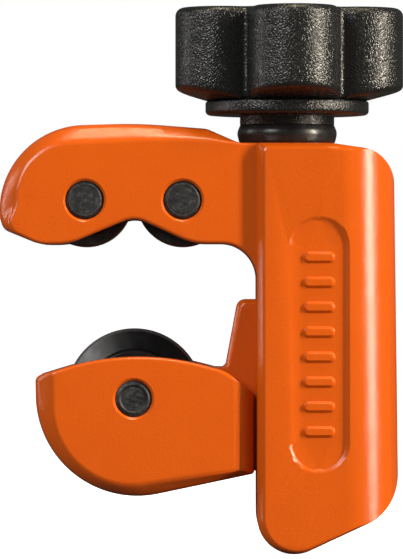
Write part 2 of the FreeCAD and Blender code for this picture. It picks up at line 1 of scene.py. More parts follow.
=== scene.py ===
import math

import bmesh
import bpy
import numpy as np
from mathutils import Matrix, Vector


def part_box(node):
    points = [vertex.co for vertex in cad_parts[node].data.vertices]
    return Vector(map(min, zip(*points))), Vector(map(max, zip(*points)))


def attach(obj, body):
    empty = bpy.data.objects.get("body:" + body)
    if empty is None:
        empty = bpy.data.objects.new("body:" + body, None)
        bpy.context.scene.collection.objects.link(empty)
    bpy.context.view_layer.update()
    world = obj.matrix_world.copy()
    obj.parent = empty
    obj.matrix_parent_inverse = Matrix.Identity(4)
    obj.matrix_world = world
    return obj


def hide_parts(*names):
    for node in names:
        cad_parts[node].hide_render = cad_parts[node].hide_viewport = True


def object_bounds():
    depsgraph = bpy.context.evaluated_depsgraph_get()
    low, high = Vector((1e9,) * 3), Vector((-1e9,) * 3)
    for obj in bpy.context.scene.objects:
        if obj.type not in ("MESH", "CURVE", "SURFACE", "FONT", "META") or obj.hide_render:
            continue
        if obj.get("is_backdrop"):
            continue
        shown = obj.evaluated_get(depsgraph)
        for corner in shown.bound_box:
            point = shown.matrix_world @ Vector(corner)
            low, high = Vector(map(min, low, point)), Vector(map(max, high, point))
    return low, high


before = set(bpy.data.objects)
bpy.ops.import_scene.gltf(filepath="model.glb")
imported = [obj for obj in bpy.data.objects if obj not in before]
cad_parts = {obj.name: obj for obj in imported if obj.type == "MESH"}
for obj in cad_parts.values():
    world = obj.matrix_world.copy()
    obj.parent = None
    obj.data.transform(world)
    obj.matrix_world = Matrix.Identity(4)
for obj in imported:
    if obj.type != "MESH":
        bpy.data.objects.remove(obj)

# %% [markdown]
# # A mini tubing cutter
# The object is a small C-shaped tool that cuts copper tube: a die-cast frame with two rollers, a
# sliding jaw with a cutting wheel, and a knob that drives the jaw with a screw. The CAD model is
# already loaded as a fixed frame, in metres, with +Z along the screw and -Y towards the viewer.
# The two castings, the clips and two small fasteners are copied from CAD. Every other piece is
# worked out again as a surface.

cad_low, cad_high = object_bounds()
MM = 0.001
print("CAD box", [round(v / MM, 2) for v in (*cad_low, *cad_high)])

# %% [markdown]
# Every place comes from the CAD nodes, so the new pieces land where the real ones are. A box per
# node is enough: the middle of a turned piece's box is on its axis.

# %% Places read from the frame


def span(node):
    """Lowest and highest corner of a CAD node, as arrays in millimetres."""
    low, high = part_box(node)
    return np.array(low) / MM, np.array(high) / MM


def middle(node):
    low, high = span(node)
    return (low + high) / 2


screw_axis = middle("feed_screw") * (1, 1, 0)
wheel_centre = middle("cutter_wheel")
print("screw axis x", round(screw_axis[0], 2), "wheel centre z", round(wheel_centre[2], 2))

# %% [markdown]
# ## Surfaces on a grid
# Most of the pieces are turned on a lathe or moulded round an axis, so each is a grid of points:
# rows follow a profile and columns go round. Numpy works the whole grid out at once, and the mesh
# gets its corners and faces in one step. A row of zero radius is a pole, whose points are merged.

# %% Grid to mesh


def grid_faces(rows, columns, closed_rows):
    """Quads (r, c), (r, c+1), (r+1, c+1), (r+1, c) of a grid whose columns close on themselves."""
    r = np.arange(rows if closed_rows else rows - 1)[:, None]
    c = np.arange(columns)[None, :]
    up = (r + 1) % rows
    right = (c + 1) % columns
    corners = [r * columns + c, r * columns + right, up * columns + right, up * columns + c]
    return np.stack(np.broadcast_arrays(*corners), -1).reshape(-1, 4)


def finish_piece(name, mesh, body, replaced, smooth_angle):
    """Links a mesh as a piece that rides on a body and stands for the CAD nodes it replaces."""
    mesh.shade_smooth()
    mesh.set_sharp_from_angle(angle=math.radians(smooth_angle))
    piece = bpy.data.objects.new(name, mesh)
    bpy.context.scene.collection.objects.link(piece)
    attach(piece, body)
    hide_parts(*replaced)
    print(name, len(mesh.polygons), "faces")
    return piece


def grid_piece(name, points, body, replaced, closed_rows=False, smooth_angle=35.0):
    """A piece from points (rows, columns, 3) in mm. Without closed_rows, both end rows are poles."""
    rows, columns, _ = points.shape
    mesh = bpy.data.meshes.new(name)
    mesh.from_pydata(points.reshape(-1, 3) * MM, [], grid_faces(rows, columns, closed_rows))
    builder = bmesh.new()
    builder.from_mesh(mesh)
    bmesh.ops.remove_doubles(builder, verts=builder.verts, dist=1e-7)
    builder.to_mesh(mesh)
    builder.free()
    return finish_piece(name, mesh, body, replaced, smooth_angle)


# %% [markdown]
# A real edge is never razor sharp, and its small radius is what catches the light. So a profile is
# given by its corners with a radius each, and this function swaps each corner for a short arc that
# is tangent to both neighbours.

# %% Profiles with rounded corners


def rounded_profile(corners, closed=False, steps=5):
    """Points of a polyline (u, v, radius) whose corners are arcs.

    The arc at corner P between unit directions a (back) and b (ahead) has its ends at P + a t and
    P + b t, with t = radius / tan(half angle), and its centre is on the bisector.
    """
    corner = np.array(corners, float)
    count = len(corner)
    points = []
    for i in range(count):
        here, radius = corner[i, :2], corner[i, 2]
        if radius == 0 or (not closed and i in (0, count - 1)):
            points.append(here[None])
            continue
        back = corner[i - 1, :2] - here
        ahead = corner[(i + 1) % count, :2] - here
        back, ahead = back / np.linalg.norm(back), ahead / np.linalg.norm(ahead)
        half = math.acos(np.clip(back @ ahead, -1, 1)) / 2
        bisector = (back + ahead) / np.linalg.norm(back + ahead)
        centre = here + bisector * radius / math.sin(half)
        start = here + back * radius / math.tan(half) - centre
        end = here + ahead * radius / math.tan(half) - centre
        t = np.linspace(0, 1, steps)[:, None]
        swept = start * (1 - t) + end * t
        points.append(centre + swept * radius / np.linalg.norm(swept, axis=1)[:, None])
    return np.concatenate(points)


def swept_round(profile, angle, along):
    """Points (rows, columns, 3) of a profile (radius, height) swept through the angles.

    Along Z a point is (r cos a, r sin a, h). Along Y it is (r cos a, h, -r sin a).
    """
    radius, height = profile[:, :1], profile[:, 1:]
    across, aside = radius * np.cos(angle), radius * np.sin(angle)
    level = height + 0 * angle
    return np.stack((across, aside, level) if along == "Z" else (across, level, -aside), -1)


def turned(name, corners, body, replaced, centre, along="Z", closed=False, columns=96,
           steps=5):
    """A turned piece: rounded corners (radius, height, rounding) in mm swept round an axis."""
    profile = rounded_profile(corners, closed, steps)
    angle = np.linspace(0, 2 * np.pi, columns, endpoint=False)
    points = swept_round(profile, angle, along) + centre
    return grid_piece(name, points, body, [replaced], closed_rows=closed)


# %% [markdown]
# ## The knob
# The knob is moulded plastic: five round lobes with narrow valleys, on a round flange and a neck.
# Its outline is made of arcs only, so shrinking it by d is simple: a lobe's radius loses d and a
# valley's radius gains d. That gives every rounded rim an exact shape, with no modifier at all.

# %% Lobed outline
LOBES = 5
LOBE_RADIUS = 5.9
LOBE_DISTANCE = 9.4
VALLEY_RADIUS = 0.6
LOBE_TURN = math.radians(5.0)
LOBE_COLUMNS = 44
VALLEY_COLUMNS = 14
half_step = math.pi / LOBES
valley_reach = LOBE_RADIUS + VALLEY_RADIUS
valley_distance = LOBE_DISTANCE * math.cos(half_step) + math.sqrt(
    valley_reach ** 2 - (LOBE_DISTANCE * math.sin(half_step)) ** 2
)


def lobed_ring(inset):
    """Outline (columns, 2) shrunk by inset, in millimetres round the knob's axis.

    Lobe: C + (R - inset) (cos a, sin a). Valley: V - (r + inset) (cos b, sin b), where C and V are
    the two kinds of centre and the arcs meet on the line that joins them.
    """
    lobe = np.array([LOBE_DISTANCE, 0.0])
    valley = valley_distance * np.array([math.cos(half_step), math.sin(half_step)])
    toward = valley - lobe
    reach = math.atan2(toward[1], toward[0])
    a = np.linspace(-reach, reach, LOBE_COLUMNS)
    b = np.linspace(reach, 2 * half_step - reach, VALLEY_COLUMNS + 2)[1:-1]
    bump = lobe + (LOBE_RADIUS - inset) * np.stack([np.cos(a), np.sin(a)], -1)
    dip = valley - (VALLEY_RADIUS + inset) * np.stack([np.cos(b), np.sin(b)], -1)
    one = np.concatenate([bump, dip])
    turn = 2 * half_step * np.arange(LOBES)[:, None] + LOBE_TURN - math.pi / 2
    x = one[:, 0] * np.cos(turn) - one[:, 1] * np.sin(turn)
    y = one[:, 0] * np.sin(turn) + one[:, 1] * np.cos(turn)
    return np.stack([x, y], -1).reshape(-1, 2)


def round_ring(radius):
    """A circle with its columns at the same angles as the lobed outline's."""
    outline = lobed_ring(0.0)
    return radius * outline / np.linalg.norm(outline, axis=1)[:, None]


# %% [markdown]
# Rows run from the neck's underside, up round the flange, out along the coned underside, up the
# lobes and in over the top, then down into the hollow round the hub, which the cap closes. The
# underside is a cone cut by the lobed outline, so its edge is higher where a lobe reaches further.

# %% Knob
knob_low, knob_high = span("knob")
NECK_RADIUS = 6.15
FLANGE_RADIUS = 10.65
NECK_HEIGHT = 1.3
FLANGE_HEIGHT = 1.8
SKIRT_RISE = 1.25
SKIRT_ROUND = 0.8
SKIRT_START = math.radians(70)  # where the skirt's rounding leaves the cone
FLANGE_SHELF = 0.6              # flat part of the flange's top, outside the lobes' root
HOLLOW_FLOOR = 2.0              # above the flange
RIM_ROUND = 1.1
HUB_RADIUS = 4.9
HUB_RISE = 5.8
HOLLOW_RADIUS = 7.8
CAP_RADIUS = 8.2
CAP_THICKNESS = 1.4
COLLAR_ROOM = 3.75
DRIVEN_RADIUS = 2.5
flange_low = knob_low[2] + NECK_HEIGHT
flange_high = flange_low + FLANGE_HEIGHT
cap_under = knob_high[2] - CAP_THICKNESS


def cone_height(ring):
    """Height of the coned underside over each point of a ring, by its distance from the axis."""
    crest = LOBE_DISTANCE + LOBE_RADIUS
    beyond = np.linalg.norm(ring, axis=1) - FLANGE_RADIUS
    return flange_high + SKIRT_RISE * np.maximum(beyond, 0.1) / (crest - FLANGE_RADIUS)


def knob_points():
    """The knob's rows (rows, columns, 3), in order round its section."""
    base = rounded_profile([
        (COLLAR_ROOM, flange_low + 0.05, 0), (COLLAR_ROOM, knob_low[2], 0.15),
        (NECK_RADIUS, knob_low[2], 0.04), (NECK_RADIUS, flange_low, 0.2),
        (FLANGE_RADIUS, flange_low, 0.55), (FLANGE_RADIUS, flange_high, 0.3),
        (FLANGE_RADIUS - FLANGE_SHELF, flange_high, 0),
    ], steps=6)
    rows = [(round_ring(radius), height) for radius, height in base]
    flange_top_ring = round_ring(FLANGE_RADIUS - FLANGE_SHELF)
    outline = lobed_ring(0.0)
    edge = cone_height(outline)
    lower = [(lobed_ring(SKIRT_ROUND * (1 - math.cos(t))), edge + SKIRT_ROUND * (1 - math.sin(t)))
             for t in np.linspace(SKIRT_START, 0, 8)]
    for share in (0.1, 0.4, 0.7, 0.93):
        ring = flange_top_ring * (1 - share) + lower[0][0] * share
        rows.append((ring, flange_high + (lower[0][1] - flange_high) * share))
    rows += lower
    upper_edge = knob_high[2] - RIM_ROUND
    for share in (0.15, 0.5, 0.85):
        rows.append((outline, lower[-1][1] * (1 - share) + upper_edge * share))
    for t in np.linspace(0, math.pi / 2, 10):
        rows.append((lobed_ring(RIM_ROUND * (1 - math.cos(t))), upper_edge + RIM_ROUND * math.sin(t)))
    hollow = rounded_profile([
        (CAP_RADIUS + 0.6, knob_high[2], 0), (CAP_RADIUS, knob_high[2], 0.15),
        (CAP_RADIUS, cap_under, 0), (HOLLOW_RADIUS, cap_under, 0),
        (HOLLOW_RADIUS, flange_high + HOLLOW_FLOOR, 0.4),
        (HUB_RADIUS, flange_high + HOLLOW_FLOOR, 0.4),
        (HUB_RADIUS, flange_high + HUB_RISE, 0.2), (DRIVEN_RADIUS, flange_high + HUB_RISE, 0),
        (DRIVEN_RADIUS, flange_low + 0.05, 0),
    ], steps=4)
    rows += [(round_ring(radius), height) for radius, height in hollow]
    return np.array([np.column_stack([ring, height + 0 * ring[:, 0]]) for ring, height in rows])


grid_piece("lobed_knob", knob_points() + screw_axis, "screw", ["knob"],
           closed_rows=True)

# %% [markdown]
# The cap snaps into the knob's top. Its face is dished by half a millimetre, so the rim takes the
# scratches when the tool stands on its head.

# %% Knob cap
CAP_GAP = 0.06
CAP_SKIRT = 1.5
cap_top = knob_high[2] - 0.02
turned("dished_cap", [
    (0, cap_under, 0), (HOLLOW_RADIUS - 0.8, cap_under, 0),
    (HOLLOW_RADIUS - 0.8, cap_under - CAP_SKIRT, 0.1),
    (HOLLOW_RADIUS - CAP_GAP, cap_under - CAP_SKIRT, 0.2), (HOLLOW_RADIUS - CAP_GAP, cap_under, 0),
    (CAP_RADIUS - CAP_GAP, cap_under, 0), (CAP_RADIUS - CAP_GAP, cap_top, 0.25),
    (CAP_RADIUS - 1.4, cap_top, 0.3), (CAP_RADIUS - 2.1, cap_top - 0.45, 0.7),
    (0, cap_top - 0.35, 0),
], "screw", "knob_cap", screw_axis)

# %% [markdown]
# ## The friction ring
# A rubber ring sits between the knob's neck and the frame. At the top it is as wide as the neck, so
# the joint between them hardly shows. Squeezed, it bulges lower down, and is rounded to the seat.

# %% Friction ring
ring_low, ring_high = span("friction_o_ring")
RING_BORE = 3.85
BULGE_RISE = 1.5                # height at which the ring is widest
ring_outer = ring_high[0] - screw_axis[0]
turned("friction_ring", [
    (RING_BORE, ring_low[2], 0.6), (ring_outer - 0.3, ring_low[2], 0.6),
    (ring_outer + 0.05, ring_low[2] + BULGE_RISE, 1.5), (NECK_RADIUS, ring_high[2], 0.03),
    (RING_BORE, ring_high[2], 0.3),
], "frame_body", "friction_o_ring", screw_axis, closed=True, steps=12)

# %% [markdown]
# ## The feed screw
# A screw thread is a surface of two parameters, angle and height. The radius at (a, z) depends only
# on the phase z / pitch - a / turn: a flat crest, two flanks and a flat root, all from one clamped
# triangle wave. The wave fades out near both ends, as a rolled thread does.

# %% Feed screw
PITCH = 1.0
MAJOR = 3.0
THREAD_DEPTH = 0.58
PILOT_LENGTH = 2.6
PILOT_RADIUS = 2.2
GROOVE_FLOOR = 2.4              # radius at the bottom of the clip's groove
THREAD_RUNOUT = 0.8             # length over which the thread fades
FLAT_AT = 2.0
screw_low, screw_high = span("feed_screw")
clip_low, clip_high = span("retaining_clip")
shoulder = span("thrust_collar")[1][2]
thread_start = screw_low[2] + PILOT_LENGTH
thread_end = clip_low[2] - 0.9


def thread_radius(angle, height):
    """Major radius minus depth times clamp(1.6 |2 phase - 1| - 0.35), faded at both ends."""
    phase = np.mod(height / PITCH - angle / (2 * np.pi), 1.0)
    wave = np.clip(1.6 * np.abs(2 * phase - 1) - 0.35, 0, 1)
    starting = np.clip((height - thread_start) / THREAD_RUNOUT, 0, 1)
    ending = np.clip((thread_end - height) / THREAD_RUNOUT, 0, 1)
    return MAJOR - THREAD_DEPTH * wave * (starting * ending)


def screw_points(columns=48, rows_per_pitch=12):
    """Pilot, threaded length, clip groove and D-shaped driven end, as rows of one grid."""
    angle = np.linspace(0, 2 * np.pi, columns, endpoint=False)
    height = np.arange(thread_start, thread_end, PITCH / rows_per_pitch)[:, None]
    radius = thread_radius(angle, height)
    threaded = np.stack([radius * np.cos(angle), radius * np.sin(angle), height + 0 * angle], -1)
    tip = rounded_profile([
        (0, screw_low[2], 0), (PILOT_RADIUS, screw_low[2], 0.4),
        (PILOT_RADIUS, thread_start - 0.3, 0),
        (MAJOR - 0.3, thread_start - 0.1, 0),
    ])
    neck = rounded_profile([
        (MAJOR, thread_end + 0.1, 0), (MAJOR, clip_low[2], 0.05),
        (GROOVE_FLOOR, clip_low[2], 0.05), (GROOVE_FLOOR, clip_high[2], 0.05),
        (MAJOR, clip_high[2], 0.05), (MAJOR, shoulder, 0.1),
        (DRIVEN_RADIUS, shoulder, 0), (DRIVEN_RADIUS, shoulder + 0.02, 0),
        (DRIVEN_RADIUS, screw_high[2], 0.3), (0, screw_high[2], 0),
    ])
    points = np.concatenate([swept_round(tip, angle, "Z"), threaded, swept_round(neck, angle, "Z")])
    driven = points[:, :, 2] > shoulder + 0.01
    points[:, :, 0] = np.where(driven, np.minimum(points[:, :, 0], FLAT_AT), points[:, :, 0])
    return points


grid_piece("threaded_feed_screw", screw_points() + screw_axis, "screw",
           ["feed_screw"], smooth_angle=50)

# %% [markdown]
# The sleeve, collar and washers round the screw are plain rings, so one function makes them all
# from the CAD node's box and its bore, with both faces' edges broken a little.

# %% Rings round the screw


def plain_ring(name, node, body, bore, edge):
    """A ring with the outer radius and height of a CAD node's box, and a given bore."""
    low, high = span(node)
    outer = (high - low)[0] / 2
    turned(name, [
        (bore, low[2], edge), (outer, low[2], edge), (outer, high[2], edge), (bore, high[2], edge),
    ], body, node, screw_axis, closed=True, columns=72)


plain_ring("bronze_bush", "screw_bush", "frame_body", 3.05, 0.12)
plain_ring("hardened_collar", "thrust_collar", "screw", 3.0, 0.15)
plain_ring("thin_clip_washer", "clip_washer", "frame_body", 3.05, 0.1)
plain_ring("flat_knob_washer", "knob_washer", "screw", 1.6, 0.1)

# %% [markdown]
# ## Cutting wheel
# The wheel is turned from tool steel: a hub with a shallow ring round its bore, and a blade that is
# a flat cone ending in a steeper bevel. The bevel is coloured lighter than the rest, a painted
# highlight for the bright line along the rim. One half of the profile is written, and the other half
# is its mirror image.

# %% Cutting wheel
wheel_low, wheel_high = span("cutter_wheel")
WHEEL_BORE = 2.43
WHEEL_HUB = 6.2
EDGE_BEVEL = 0.35
BLADE_ROOT = 1.3                # half thickness of the blade at the hub
BLADE_TIP = 0.27                # half thickness where the bevel starts
GROOVE_DEPTH = 0.12             # shallow ring turned in the hub's face


def mirrored_profile(half, tip=()):
    """A closed profile from the half with positive heights, listed from the bore outwards."""
    lower = [(radius, -height, edge) for radius, height, edge in half]
    return lower + list(tip) + half[::-1]


wheel_radius = (wheel_high - wheel_low)[0] / 2
hub_half = (wheel_high - wheel_low)[1] / 2
turned("cutting_wheel", mirrored_profile([
    (WHEEL_BORE, hub_half, 0.12), (4.7, hub_half, 0.05), (4.85, hub_half - GROOVE_DEPTH, 0.04),
    (5.2, hub_half - GROOVE_DEPTH, 0.04), (5.35, hub_half, 0.05), (WHEEL_HUB, hub_half, 0.3),
    (WHEEL_HUB, BLADE_ROOT, 0.35), (wheel_radius - EDGE_BEVEL, BLADE_TIP, 0.05),
], [(wheel_radius, 0, 0)]), "wheel", "cutter_wheel", wheel_centre, along="Y",
    closed=True, columns=192)

# %% [markdown]
# ## Rollers
# Each roller has a raised ring at both ends, so that it bears near the cheeks, and a shallow recess
# inside the ring. The outside has a wide chamfer that guides the tube in.

# %% Rollers
ROLLER_RIM = 1.5
ROLLER_BORE = 2.55
END_RECESS = 0.4
for side in ("outer", "inner"):
    low, high = span("roller_" + side)
    roller_radius = (high - low)[0] / 2
    half = (high - low)[1] / 2
    turned("steel_roller_" + side, mirrored_profile([
        (ROLLER_BORE, half, 0.12), (ROLLER_BORE + 1, half, 0.12),
        (ROLLER_BORE + 1, half - END_RECESS, 0.1), (roller_radius - ROLLER_RIM, half - END_RECESS, 0.12),
        (roller_radius - ROLLER_RIM, half, 0.15), (roller_radius - 0.35, half, 0.12),
        (roller_radius, half - 0.35, 0.15),
    ]), side + "_roller", "roller_" + side, middle("roller_" + side), along="Y",
        closed=True, columns=128)

# %% [markdown]
# ## Pins
# The roller pins are cut from black bar: a chamfered rim and a face with a faint dish, where the
# parting tool left it. The wheel's pin has a wider rim, a sunk face with faint uneven marks, and a
# groove near its back end for the clip. The marks are a height field on the end face: plain waves
# in x and z that fade out before the rim.

# %% Pins


def worn_face(points, centre, depth, radius, flat_y):
    """Pushes the face at flat_y in and out: depth times waves of x and z, faded near the rim."""
    across, up = points[..., 0] - centre[0], points[..., 2] - centre[2]
    reach = np.hypot(across, up)
    fade = np.clip((radius - reach) / (0.25 * radius), 0, 1)
    waves = (np.sin(4.1 * across + 1.3 * np.sin(3.3 * up)) * np.sin(3.7 * up + 0.7)
             + 0.5 * np.sin(9.0 * up + 2.0 * across))
    on_face = np.abs(points[..., 1] - flat_y) < 0.08
    points[..., 1] += on_face * depth * waves * fade
    return points


def pin(name, node, body, corners, sunk, depth):
    """A pin along Y whose front face has extra rings, so that it can be dished and marked."""
    low, high = span(node)
    centre = middle(node) * (1, 0, 1)
    face = [(share * corners[0][0], low[1] + sunk, 0) for share in np.linspace(0, 0.97, 14)]
    profile = rounded_profile(face + corners, steps=5)
    angle = np.linspace(0, 2 * np.pi, 72, endpoint=False)
    points = swept_round(profile, angle, "Y") + centre
    points = worn_face(points, centre, depth, corners[0][0], low[1] + sunk)
    return grid_piece(name, points, body, [node])


for side in ("outer", "inner"):
    low, high = span("roller_pin_" + side)
    radius = (high - low)[0] / 2
    pin("black_pin_" + side, "roller_pin_" + side, "frame_body", [
        (radius - 0.62, low[1] + 0.05, 0.1), (radius - 0.45, low[1], 0.08),
        (radius, low[1] + 0.4, 0.15), (radius, high[1] - 0.4, 0.15), (radius - 0.45, high[1], 0.1),
        (0, high[1], 0),
    ], 0.05, 0.012)

low, high = span("cutter_pin")
clip_front, clip_back = (corner[1] for corner in span("cutter_pin_clip"))
radius = (high - low)[0] / 2
GROOVE_RADIUS = 1.904
pin("black_wheel_pin", "cutter_pin", "slide", [
    (radius - 0.78, low[1] + 0.22, 0.1), (radius - 0.55, low[1], 0.12),
    (radius, low[1] + 0.3, 0.15), (radius, clip_front - 0.03, 0.05),
    (GROOVE_RADIUS, clip_front - 0.03, 0.05), (GROOVE_RADIUS, clip_back + 0.03, 0.05),
    (radius, clip_back + 0.03, 0.05), (radius, high[1] - 0.3, 0.1),
    (radius - 0.35, high[1], 0.1), (0, high[1], 0),
], 0.22, 0.03)

# %% [markdown]
# ## Castings
# The frame and the jaw are die castings with many cuts, so their shape is right in CAD already, and
# so are their eased edges. A copy of the mesh is merged, and it is shaded smooth where two faces
# meet at less than a chosen angle. The normals are weighted by face area, so the flats stay flat
# and the narrow strips along the edges do the turning.

# %% Copies of CAD meshes


def merged_copy(name, node, body, smooth_angle):
    """A copy of a CAD node with its corners merged and area-weighted normals."""
    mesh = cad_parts[node].data.copy()
    mesh.name = name
    mesh.materials.clear()
    builder = bmesh.new()
    builder.from_mesh(mesh)
    bmesh.ops.remove_doubles(builder, verts=builder.verts, dist=2e-6)
    builder.to_mesh(mesh)
    builder.free()
    old_normals = mesh.attributes.get("custom_normal")
    if old_normals:
        mesh.attributes.remove(old_normals)
    piece = finish_piece(name, mesh, body, [node], smooth_angle)
    flats = piece.modifiers.new("flat_faces", "WEIGHTED_NORMAL")
    flats.keep_sharp = True
    flats.weight = 100
    return piece


def rounded_copy(name, node, body, width):
    """A merged copy whose sharp edges are also rounded by width millimetres."""
    piece = merged_copy(name, node, body, 30.0)
    builder = bmesh.new()
    builder.from_mesh(piece.data)
    bmesh.ops.dissolve_limit(builder, angle_limit=math.radians(0.1), verts=builder.verts,
                             edges=builder.edges)
    builder.to_mesh(piece.data)
    builder.free()
    bevel = piece.modifiers.new("rounded_edges", "BEVEL")
    bevel.width = width * MM
    bevel.segments = 2
    bevel.limit_method = "ANGLE"
    bevel.angle_limit = math.radians(30)
    piece.modifiers.move(1, 0)
    return piece


merged_copy("frame_casting", "frame", "frame_body", 38.0)
merged_copy("jaw_casting", "slide_jaw", "slide", 38.0)
rounded_copy("pin_snap_clip", "cutter_pin_clip", "slide", 0.06)
rounded_copy("screw_snap_clip", "retaining_clip", "screw", 0.06)
rounded_copy("split_lock_washer", "knob_lock_washer", "screw", 0.06)
rounded_copy("socket_head_screw", "knob_screw", "screw", 0.08)

# %% [markdown]
# ## Shared effects
# A finish is more than a colour. Each effect that several finishes use is a node group, built once:
# it takes the piece's own coordinates and a size in millimetres, and gives back a height or a mask.

# %% Node group helpers
LENGTHS_PER_METRE = 1000.0


def new_group(name, inputs, outputs):
    """An empty shader node group with named sockets: inputs are (name, type, default)."""
    group = bpy.data.node_groups.new(name, "ShaderNodeTree")
    for label, kind, default in inputs:
        socket = group.interface.new_socket(label, in_out="INPUT", socket_type="NodeSocket" + kind)
        if default is not None:
            socket.default_value = default
    for label, kind in outputs:
        group.interface.new_socket(label, in_out="OUTPUT", socket_type="NodeSocket" + kind)
    return group, group.nodes.new("NodeGroupInput"), group.nodes.new("NodeGroupOutput")


def math_node(tree, operation, *values):
    """A Math node's output. Each operand is a number or an output socket."""
    node = tree.nodes.new("ShaderNodeMath")
    node.operation = operation
    for index, value in enumerate(values):
        if isinstance(value, bpy.types.NodeSocket):
            tree.links.new(value, node.inputs[index])
        else:
            node.inputs[index].default_value = value
    return node.outputs[0]


def noise(tree, vector, scale, detail=2.0, roughness=0.5):
    """A noise texture's value, with a scale that is a number or a socket."""
    node = tree.nodes.new("ShaderNodeTexNoise")
    node.inputs["Detail"].default_value = detail
    node.inputs["Roughness"].default_value = roughness
    tree.links.new(vector, node.inputs["Vector"])
    if isinstance(scale, bpy.types.NodeSocket):
        tree.links.new(scale, node.inputs["Scale"])
    else:
        node.inputs["Scale"].default_value = scale
    return node.outputs[0]


def smooth_range(tree, value, low, high, to_low=0.0, to_high=1.0):
    """A Map Range node: a smooth step from low to high."""
    node = tree.nodes.new("ShaderNodeMapRange")
    node.interpolation_type = "SMOOTHSTEP"
    tree.links.new(value, node.inputs["Value"])
    node.inputs["From Min"].default_value = low
    node.inputs["From Max"].default_value = high
    node.inputs["To Min"].default_value = to_low
    node.inputs["To Max"].default_value = to_high
    return node.outputs[0]


def per_metre(tree, size_mm):
    """Texture scale for features of a size in millimetres."""
    return math_node(tree, "DIVIDE", LENGTHS_PER_METRE, size_mm)


# %% [markdown]
# Powder coat melts and flows, which leaves a gentle orange peel, with a few pits and specks of
# dust. The height is two noises of different size. The specks and the pits are the rare peaks and
# dips of a third.

# %% Orange peel
peel_group, peel_in, peel_out = new_group(
    "orange_peel", [("Vector", "Vector", None), ("Size", "Float", 0.5)],
    [("Height", "Float"), ("Specks", "Float"), ("Pits", "Float")])
peel_place = peel_in.outputs["Vector"]
peel_scale = per_metre(peel_group, peel_in.outputs["Size"])
broad = noise(peel_group, peel_place, peel_scale, 1.0)
fine = noise(peel_group, peel_place, math_node(peel_group, "MULTIPLY", peel_scale, 3.1))
peel_group.links.new(math_node(peel_group, "MULTIPLY_ADD", fine, 0.8, broad), peel_out.inputs["Height"])
dust = noise(peel_group, peel_place, math_node(peel_group, "MULTIPLY", peel_scale, 2.3), 0.0)
peel_group.links.new(smooth_range(peel_group, dust, 0.79, 0.85), peel_out.inputs["Specks"])
peel_group.links.new(smooth_range(peel_group, dust, 0.19, 0.14), peel_out.inputs["Pits"])

# %% [markdown]
# The knob's mould is etched with a leather grain: irregular cells with soft creases between them.
# The distance to a Voronoi cell's border makes the cells. A little noise added to the coordinates
# bends the borders, so that no straight line is left.

# %% Leather grain
grain_group, grain_in, grain_out = new_group(
    "leather_grain", [("Vector", "Vector", None), ("Size", "Float", 0.5), ("Bend", "Float", 0.4)],
    [("Height", "Float"), ("Crease_shade", "Float")])


def vector_node(tree, operation, first, second):
    """A Vector Math node's output. The second operand is a vector, a number or a socket."""
    node = tree.nodes.new("ShaderNodeVectorMath")
    node.operation = operation
    tree.links.new(first, node.inputs[0])
    target = node.inputs["Scale"] if operation == "SCALE" else node.inputs[1]
    if isinstance(second, bpy.types.NodeSocket):
        tree.links.new(second, target)
    else:
        target.default_value = second
    return node.outputs[0]


grain_scale = per_metre(grain_group, grain_in.outputs["Size"])
wobble = grain_group.nodes.new("ShaderNodeTexNoise")
wobble.inputs["Detail"].default_value = 1.0
grain_group.links.new(grain_in.outputs["Vector"], wobble.inputs["Vector"])
grain_group.links.new(grain_scale, wobble.inputs["Scale"])
centred = vector_node(grain_group, "SUBTRACT", wobble.outputs["Color"], (0.5, 0.5, 0.5))
reach = math_node(grain_group, "DIVIDE", grain_in.outputs["Bend"], grain_scale)
bent = vector_node(grain_group, "ADD", grain_in.outputs["Vector"],
                   vector_node(grain_group, "SCALE", centred, reach))
cells = grain_group.nodes.new("ShaderNodeTexVoronoi")
cells.feature = "DISTANCE_TO_EDGE"
grain_group.links.new(bent, cells.inputs["Vector"])
grain_group.links.new(grain_scale, cells.inputs["Scale"])
crown = smooth_range(grain_group, cells.outputs["Distance"], 0.0, 0.35)
ripple = noise(grain_group, bent, math_node(grain_group, "MULTIPLY", grain_scale, 2.2))
grain_group.links.new(math_node(grain_group, "MULTIPLY_ADD", ripple, 0.6, crown),
                      grain_out.inputs["Height"])
# Crease_shade is one minus the crown: a mask where shade is painted into the grain's creases
grain_group.links.new(math_node(grain_group, "SUBTRACT", 1.0, crown), grain_out.inputs["Crease_shade"])

# %% [markdown]
# A lathe tool leaves rings. With coordinates centred on the piece's axis, the distance from the
# axis is all that matters, so a noise that varies only along that distance makes the rings.

# %% Turning marks
marks_group, marks_in, marks_out = new_group(
    "turning_marks", [("Vector", "Vector", None), ("Spacing", "Float", 0.1)],
    [("Height", "Float"), ("Streaks", "Float"), ("Distance", "Float")])
parts = marks_group.nodes.new("ShaderNodeSeparateXYZ")
marks_group.links.new(marks_in.outputs["Vector"], parts.inputs[0])
square_x = math_node(marks_group, "POWER", parts.outputs["X"], 2.0)
square_z = math_node(marks_group, "POWER", parts.outputs["Z"], 2.0)
distance = math_node(marks_group, "SQRT", math_node(marks_group, "ADD", square_x, square_z))
shifted = math_node(marks_group, "MULTIPLY_ADD", parts.outputs["Y"], 0.7, distance)
rings = marks_group.nodes.new("ShaderNodeTexNoise")
rings.noise_dimensions = "1D"
rings.inputs["Detail"].default_value = 3.0
rings.inputs["Scale"].default_value = 1.0
ring_scale = per_metre(marks_group, marks_in.outputs["Spacing"])
marks_group.links.new(math_node(marks_group, "MULTIPLY", shifted, ring_scale), rings.inputs["W"])
marks_group.links.new(rings.outputs[0], marks_out.inputs["Height"])
marks_group.links.new(smooth_range(marks_group, rings.outputs[0], 0.35, 0.7), marks_out.inputs["Streaks"])
marks_group.links.new(distance, marks_out.inputs["Distance"])

# %% [markdown]
# Hands, oil and storage change how shiny a surface is from place to place. This group gives a slow,
# blotchy value between two limits, which goes straight into the roughness.

